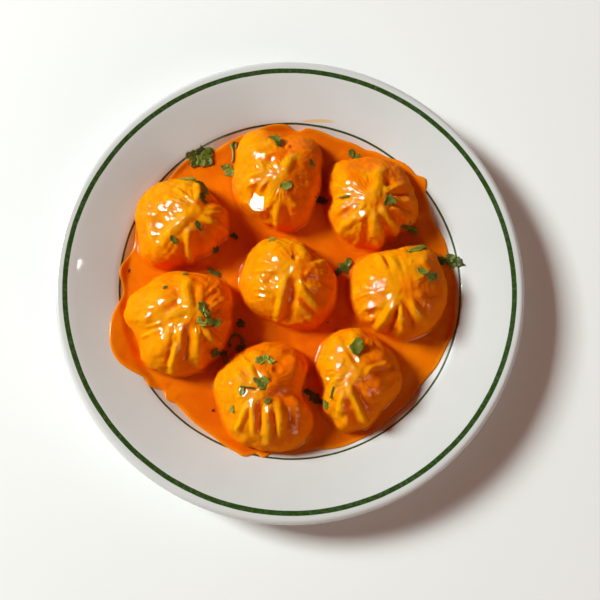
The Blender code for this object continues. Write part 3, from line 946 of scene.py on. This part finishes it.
# All scraps are in millimetres and degrees, and a tone runs from dark to pale.
# Each scrap of leaf: x, y, heading, length, width, tone.
LEAVES = (
    (-56, 74, 150, 7, 5.5, 0.15), (-52, 76, 60, 7, 5.5, 0.05), (-48, 75, 20, 7, 6, 0.2),
    (-51, 71, 280, 7, 5, 0.35), (-47, 71, 310, 6, 4.5, 0.2), (-54, 70, 220, 6, 4.5, 0.1),
    (-46, 77, 60, 5, 4, 0.15), (-35, 66, 260, 7, 5, 0.45), (-32, 81, 100, 4, 3, 0.15),
    (-38, 68, 170, 4, 3, 0.3), (-10, 78, 330, 7.5, 5.5, 0.35), (-8, 75, 290, 4.5, 3, 0.1),
    (-48, 49, 280, 8, 4.5, 0.25), (-48, 44, 280, 6, 4, 0.1), (-50, 52, 20, 5, 3, 0.1),
    (-4, 50, 20, 6.5, 5, 0.6), (-2, 51, 60, 4, 3, 0.3), (10, 65, 300, 4.5, 2.2, 0.2),
    (34, 77, 120, 4.5, 3.5, 0.3), (37, 75, 320, 6, 4.5, 0.35), (17, 49, 10, 8.5, 4.2, 0.12),
    (51, 42, 30, 6.5, 5, 0.3), (63, 33, 290, 6, 4, 0.25), (67, 33, 340, 7, 4, 0.5),
    (67, 18, 18, 11, 3.4, 0.35), (71, 20, 30, 5, 4, 0.4), (84, 15, 200, 7, 5, 0.1),
    (89, 16, 60, 7, 5.5, 0.2), (93, 14, 340, 7, 5, 0.05), (89, 13, 300, 5, 4, 0.3),
    (68, 4, 150, 6, 4, 0.45), (72, 2, 330, 6, 4.5, 0.6), (75, 2, 20, 5, 4, 0.3),
    (29, 11, 55, 9, 6.5, 0.15), (32, 14, 60, 5, 4, 0.25), (26, 8, 240, 4, 3, 0.1),
    (-11, 23, 20, 3.8, 3.4, 0.65), (-50, 28, 295, 6.5, 2.4, 0.08), (-63, 21, 315, 5, 3, 0.25),
    (-32, 28, 350, 5, 3, 0.12), (-42, 20, 60, 4.2, 2.8, 0.08), (-44, 8, 335, 6, 3, 0.3),
    (-41, 7, 330, 4, 2.5, 0.2), (-57, 3, 0, 2.6, 2.2, 0.4), (-67, -5, 30, 2.8, 2.2, 0.2),
    (-47, -17, 100, 6, 4, 0.3), (-45, -20, 0, 5, 4, 0.65), (-43, -23, 330, 5, 3.5, 0.5),
    (-48, -23, 260, 4, 3, 0.6), (-46, -25, 180, 4, 2.5, 0.75), (-40, -24, 0, 5, 4, 0.25),
    (-28, -21, 80, 5, 5, 0.1), (-28, -34, 40, 6, 3.5, 0.25), (-41, -38, 150, 5.5, 5, 0.08),
    (-37, -37, 10, 4, 3, 0.3), (-17, -43, 200, 5, 4, 0.4), (-12, -43, 330, 5.5, 4, 0.85),
    (-14, -42, 60, 4, 3, 0.9), (-17, -55, 325, 8, 4.5, 0.3), (-14, -53, 330, 5, 3.5, 0.5),
    (-26, -59, 250, 4.5, 3, 0.5), (-31, -68, 50, 4, 3.6, 0.65), (-13, -64, 20, 3.8, 2.6, 0.25),
    (13, -61, 325, 10, 5.2, 0.15), (18, -65, 310, 5, 4, 0.4), (9, -58, 150, 4, 3, 0.05),
    (33, -36, 285, 10, 8.5, 0.4),
)
# Each stem: x, y, heading, length, width, bend in radians, tone.
STEMS = (
    (-33, 76, 275, 11, 1.3, 0.8, 0.75), (-57, 56, 4, 9, 2.1, 0.1, 0.85),
    (28, 46, 15, 6, 1.1, 0.3, 0.4), (66, 17, 15, 7, 1.0, 0.1, 0.8),
    (-30, -27, 0, 18, 1.5, 4.6, 0.4), (-35, -42, 300, 10, 1.7, 0.15, 0.8),
    (-23, -57, 0, 8, 0.7, 0.1, 0.1), (21, -59, 60, 7, 1.3, 0.2, 0.3),
    (-46, -18, 95, 8, 1.0, 0.9, 0.85), (-47, -24, 175, 5, 1.0, 0.2, 0.9),
    (-15, -44, 225, 5, 1.0, 0.2, 0.9), (-12, -44, 310, 3.5, 1.2, 0.1, 0.95),
)
# Each fleck of chilli: x, y, heading, length, width.
FLECKS = (
    (-89, 8, 265, 2.4, 1.2), (-42, -68, 40, 1.8, 1.4), (20, -20, 10, 1.0, 0.8),
    (-20, 62, 80, 1.1, 0.8),
)


def herb_finish(name, dark, pale):
    """Wet chopped leaf, stem or chilli, mottled between a dark and a pale colour."""
    finish = Finish(name)
    finish.set(Roughness=0.4, IOR=1.33)
    mottle = finish.math("MULTIPLY", finish.noise(900.0, 3.0), 0.7)
    mottle = finish.math("SUBTRACT", mottle, 0.35)
    share = finish.math("ADD", mottle, finish.attribute("tone"), clamp=True)
    finish.join(finish.mix(share, dark, pale), finish.shader.inputs["Base Color"])
    finish.bump(finish.noise(1100.0, 2.0), 0.15 * MM, 0.6)
    return finish.material


def open_herbs():
    """An empty form that keeps a tone at every corner."""
    form = bmesh.new()
    form.verts.layers.float.new("tone")
    return form


def close_herbs(name, form, material):
    """Finish one kind of scrap as one piece."""
    bmesh.ops.recalc_face_normals(form, faces=form.faces)
    settle(finished(name, form), material)


def make_herbs(surfaces):
    """Scatter the chopped leaves, stems and flecks where they lie."""
    form = bmesh.new()
    for made in surfaces:
        form.from_mesh(made.data)
    tree = BVHTree.FromBMesh(form)
    form.free()
    draw = random.Random(HERB_SEED)
    green = herb_finish("chopped green leaf", LEAF_DARK, LEAF_PALE)

    form = open_herbs()
    for x, y, heading, length, width, tone in LEAVES:
        frame_at = laid(tree, x, y, heading, LEAF_LIFT, LEAF_FOLLOWS)
        add_leaf(form, tree, frame_at, length, width, draw, tone)
    close_herbs("herb_leaves", form, green)

    form = open_herbs()
    for x, y, heading, length, width, bend, tone in STEMS:
        frame_at = laid(tree, x, y, heading, STEM_LIFT * width, STEM_FOLLOWS)
        add_stem(form, frame_at, length, width, bend, tone)
    close_herbs("herb_stems", form, green)

    form = open_herbs()
    for x, y, heading, length, width in FLECKS:
        frame_at = laid(tree, x, y, heading, FLECK_LIFT, FLECK_FOLLOWS)
        add_leaf(form, tree, frame_at, length, width, draw, CHILLI_TONE)
    chilli = herb_finish("chilli fleck", CHILLI_DARK, CHILLI_BRIGHT)
    close_herbs("chilli_flecks", form, chilli)


# ================================================================ camera, light and floor

CAMERA_LENS = 50.75
# Each lamp: name, (azimuth, elevation, distance), size in metres, power in watts, colour.
LAMPS = (
    ("window", WINDOW_PLACE, (0.85, 0.85), 140.0, (0.91, 1.0, 0.98)),
    ("fill", (-50.0, 25.0, 3.0), (1.6, 1.2), 17.0, (1.0, 0.92, 0.80)),
    ("lamp", (-8.0, 50.0, 3.2), (0.10, 0.18), 1.6, (1.0, 0.86, 0.7)),
    ("spot", (19.7, 63.2, 3.2), (0.025, 0.06), 0.3, (1.0, 0.95, 0.9)),
)
ROOM_COLOUR = (1.0, 0.30, 0.15, 1.0)
ROOM_LOW = 0.06
ROOM_HIGH = 0.12
FLOOR_PALE = (0.95, 0.95, 0.945)
FLOOR_DULL = (0.93, 0.93, 0.925)


def aimed(thing, place, target):
    """Put a camera or light at a place, looking at a target with +Y upwards in its picture."""
    back = (Vector(place) - Vector(target)).normalized()
    side = Vector((0.0, 1.0, 0.0)).cross(back).normalized()
    up = back.cross(side)
    turned = Matrix((side, up, back)).transposed().to_4x4()
    thing.matrix_world = Matrix.Translation(place) @ turned


def around(azimuth, elevation, distance, middle):
    """A place at an azimuth and elevation in degrees about a middle, 0 being +X."""
    flat = math.cos(math.radians(elevation)) * distance
    turn = math.radians(azimuth)
    rise = math.sin(math.radians(elevation)) * distance
    return Vector(middle) + Vector((flat * math.cos(turn), flat * math.sin(turn), rise))


def make_camera():
    camera = bpy.data.objects.new("camera", bpy.data.cameras.new("camera"))
    camera.data.lens = CAMERA_LENS
    camera.data.sensor_width = 36.0
    camera.data.clip_start = 0.01
    bpy.context.scene.collection.objects.link(camera)
    aimed(camera, around(*CAMERA_PLACE, CAMERA_AIM), CAMERA_AIM)
    bpy.context.scene.camera = camera


def softbox(name, place, size, power, colour):
    """A rectangular lamp that faces the plate."""
    lamp = bpy.data.objects.new(name, bpy.data.lights.new(name, "AREA"))
    lamp.data.shape = "RECTANGLE"
    lamp.data.size, lamp.data.size_y = size
    lamp.data.energy = power
    lamp.data.color = colour
    bpy.context.scene.collection.objects.link(lamp)
    aimed(lamp, around(*place, CAMERA_AIM), CAMERA_AIM)


def make_light():
    """A window from the left, a broad fill and small lamps, and a warm room all round."""
    for lamp in LAMPS:
        softbox(*lamp)
    world = bpy.data.worlds.new("room")
    bpy.context.scene.world = world
    world.use_nodes = True
    nodes, links = world.node_tree.nodes, world.node_tree.links
    background = nodes["Background"]
    background.inputs["Color"].default_value = ROOM_COLOUR
    sky = nodes.new("ShaderNodeSeparateXYZ")
    links.new(nodes.new("ShaderNodeTexCoord").outputs["Generated"], sky.inputs[0])
    height = nodes.new("ShaderNodeMapRange")
    links.new(sky.outputs["Z"], height.inputs["Value"])
    height.inputs["From Min"].default_value = 0.1
    height.inputs["From Max"].default_value = 0.9
    height.inputs["To Min"].default_value = ROOM_LOW
    height.inputs["To Max"].default_value = ROOM_HIGH
    links.new(height.outputs["Result"], background.inputs["Strength"])


def make_floor():
    """A plain pale floor that the foot ring stands on."""
    form = bmesh.new()
    bmesh.ops.create_grid(form, x_segments=8, y_segments=8, size=3.0)
    floor = finished("floor", form)
    finish = Finish("pale floor")
    finish.set(Roughness=0.6)
    cloudy = finish.spread(finish.noise(3.0, 2.0), 0.3, 0.7)
    colour = finish.mix(cloudy, FLOOR_PALE, FLOOR_DULL)
    finish.join(colour, finish.shader.inputs["Base Color"])
    floor.data.materials.append(finish.material)


def main():
    bpy.context.scene.view_settings.view_transform = "Standard"
    make_camera()
    make_light()
    make_floor()
    plate = make_plate(glaze())
    dough = dough_finish()
    momos = []
    for index, (name, momo) in enumerate(MOMOS.items()):
        momos.append(make_momo(name, momo, 10 * index + 5, dough))
    sauce = make_sauce(sauce_finish())
    make_herbs([plate, sauce, *momos])


main()
